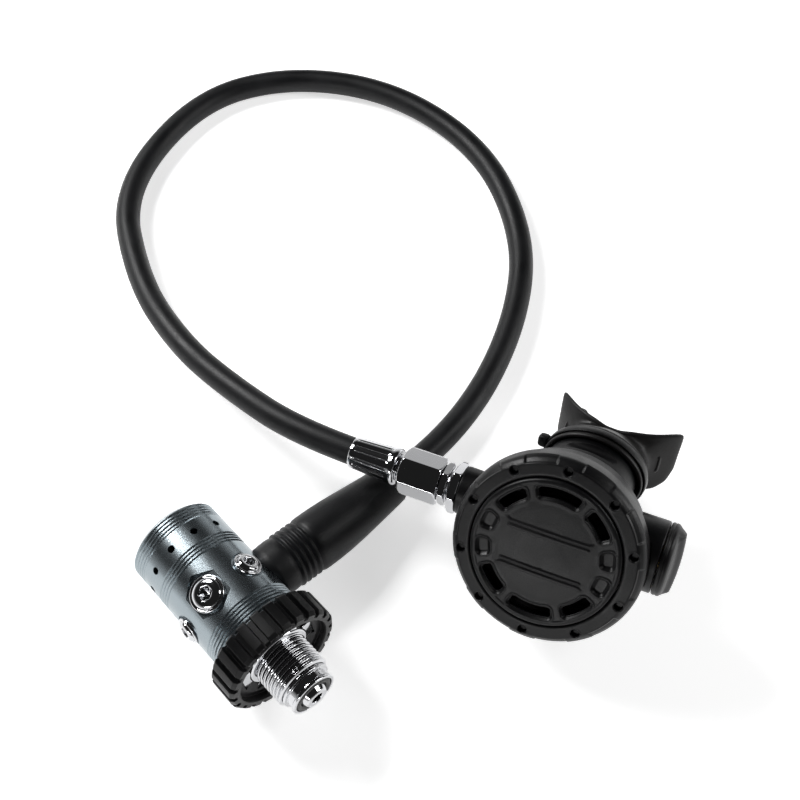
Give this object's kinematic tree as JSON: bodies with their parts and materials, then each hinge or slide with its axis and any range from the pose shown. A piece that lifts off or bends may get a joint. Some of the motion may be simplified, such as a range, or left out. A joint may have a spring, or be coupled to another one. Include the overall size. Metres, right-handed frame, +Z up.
{
  "type": "scuba regulator set",
  "caption": "Scuba regulator set: DIN first stage with black handwheel, looped rubber hose, and round second stage with purge cover, adjustment knob and mouthpiece.",
  "frame": {"origin": "centre of the bottom of the box round the set without its hose, on the surface it lies on", "axes": "+X to the right, from the first stage to the second stage; +Y away, towards the hose loop; +Z up"},
  "size_m": [0.2552, 0.3464, 0.0763],
  "materials": {
    "satin_chrome": "satin pearl chrome plate on brass",
    "bright_chrome": "bright chrome plate",
    "brass": "machined",
    "stainless_steel": "drawn wire and pressed sheet",
    "sintered_bronze": "sintered, matte",
    "black_plastic": "fine moulded grain",
    "white_plastic": "smooth moulded",
    "hose_rubber": "matte extruded",
    "mouthpiece_rubber": "satin silicone",
    "seal_rubber": "smooth"
  },
  "bodies": {
    "first_stage": {"first_stage_body": "satin_chrome", "end_cap": "satin_chrome", "piston_stem_oring": "seal_rubber", "main_spring": "stainless_steel", "din_retainer": "bright_chrome", "din_oring": "seal_rubber", "din_filter": "sintered_bronze", "filter_clip": "stainless_steel", "high_pressure_plugs": "bright_chrome", "low_pressure_plugs": "bright_chrome", "port_orings": "seal_rubber", "hose_fitting": "bright_chrome", "hose_ferrule_first": "bright_chrome", "hose_protector": "hose_rubber", "hose": "hose_rubber", "hose_ferrule_second": "bright_chrome", "swivel_stem": "bright_chrome", "stem_oring": "seal_rubber"},
    "din_wheel": {"din_coupling": "bright_chrome", "din_handwheel": "black_plastic"},
    "piston": {"piston": "brass", "piston_seat": "white_plastic", "piston_head_oring": "seal_rubber"},
    "second_stage": {"swivel_nut": "bright_chrome", "inlet_fitting": "bright_chrome", "barrel_lock_nut": "bright_chrome", "second_stage_case": "black_plastic", "valve_barrel": "brass", "orifice_tube": "brass", "poppet_spring": "stainless_steel", "diaphragm": "seal_rubber", "diaphragm_cover": "black_plastic", "purge_spring": "stainless_steel", "cover_ring": "black_plastic", "exhaust_valve": "seal_rubber", "exhaust_tee": "black_plastic", "mouthpiece": "mouthpiece_rubber", "mouthpiece_tie": "black_plastic"},
    "purge": {"purge_cover": "black_plastic"},
    "diaphragm_centre": {"diaphragm_plate": "stainless_steel"},
    "lever": {"demand_lever": "stainless_steel"},
    "poppet": {"poppet": "white_plastic", "poppet_seat": "seal_rubber", "lever_nut": "brass"},
    "adjuster": {"adjustment_screw": "brass", "screw_oring": "seal_rubber", "adjustment_knob": "black_plastic"}
  },
  "joints": [
    {"name": "din_wheel_turn", "type": "hinge", "parent": "first_stage", "child": "din_wheel", "pos_m": [-0.0573, -0.0382, 0.0242], "axis": [0.673, -0.7345, 0.0872], "continuous": true},
    {"name": "piston_slide", "type": "slide", "parent": "first_stage", "child": "piston", "axis": [0.673, -0.7345, 0.0872], "range_m": [0, 0.001], "stiffness_N_per_m": 3000, "springref_m": -0.004, "deforming": ["main_spring"]},
    {"name": "second_stage_swivel", "type": "hinge", "parent": "first_stage", "child": "second_stage", "pos_m": [0.05668, 0.0023, 0.03917], "axis": [0.911, -0.3994, 0.1024], "continuous": true},
    {"name": "purge_press", "type": "slide", "parent": "second_stage", "child": "purge", "axis": [0.3571, 0.6402, -0.6802], "range_m": [0, 0.003], "stiffness_N_per_m": 500, "springref_m": -0.004, "deforming": ["purge_spring"]},
    {"name": "diaphragm_lift", "type": "slide", "parent": "second_stage", "child": "diaphragm_centre", "axis": [0.3571, 0.6402, -0.6802], "range_m": [0, 0.003], "deforming": ["diaphragm"]},
    {"name": "lever_turn", "type": "hinge", "parent": "second_stage", "child": "lever", "pos_m": [0.06718, -0.00733, 0.04489], "axis": [-0.2061, -0.6562, -0.7259], "range_deg": [0, 8.7]},
    {"name": "poppet_slide", "type": "slide", "parent": "second_stage", "child": "poppet", "axis": [0.911, -0.3994, 0.1024], "range_m": [0, 0.0008], "deforming": ["poppet_spring"]},
    {"name": "adjuster_turn", "type": "hinge", "parent": "second_stage", "child": "adjuster", "pos_m": [0.05668, 0.0023, 0.03917], "axis": [0.911, -0.3994, 0.1024], "range_deg": [-150, 150]}
  ],
  "couplings": [
    {"joint": "diaphragm_lift", "follows": "purge_press", "ratio": 1},
    {"joint": "lever_turn", "follows": "purge_press", "rad_per_m": 50},
    {"joint": "poppet_slide", "follows": "purge_press", "ratio": 0.25}
  ]
}
